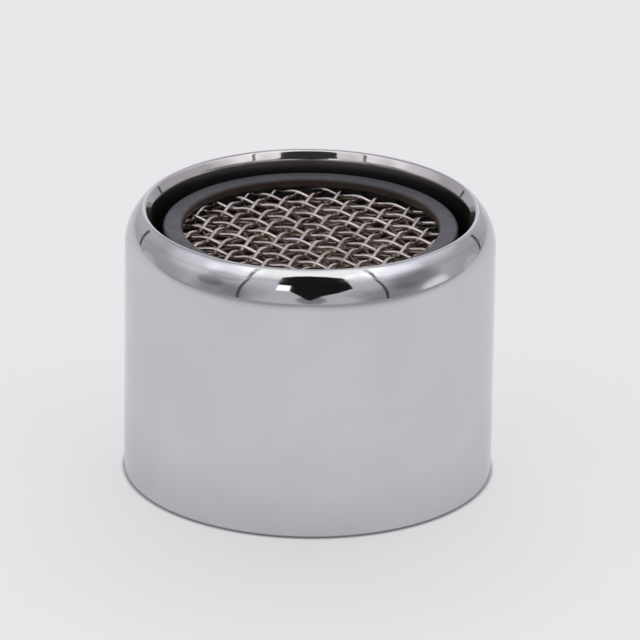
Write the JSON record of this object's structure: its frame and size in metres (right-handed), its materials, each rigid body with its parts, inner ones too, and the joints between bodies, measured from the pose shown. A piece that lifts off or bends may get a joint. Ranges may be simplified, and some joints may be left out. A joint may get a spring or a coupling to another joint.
{
  "type": "tap aerator",
  "caption": "Short round chrome-plated tap aerator with a rounded outlet lip, a female spout thread, and a moulded insert with air windows and woven wire screens.",
  "frame": {"origin": "centre of the inlet end face, on the axis of the thread", "axes": "+Z runs along the axis from the inlet to the outlet, X and Y lie in the inlet end face"},
  "size_m": [0.024, 0.024, 0.018],
  "materials": {
    "chrome_plate": "polished chrome plate on turned brass",
    "black_rubber": "matt moulded rubber",
    "pale_plastic": "fine moulded plastic",
    "grey_plastic": "satin moulded plastic",
    "steel_wire": "drawn stainless wire"
  },
  "bodies": {
    "root": {"housing": "chrome_plate", "sealing_washer": "black_rubber", "inlet_strainer": "pale_plastic", "jet_disc": "pale_plastic", "mixing_sleeve": "grey_plastic", "screen_retainer": "grey_plastic", "outlet_screen": "steel_wire", "middle_screen": "steel_wire", "inner_screen": "steel_wire"}
  },
  "joints": []
}
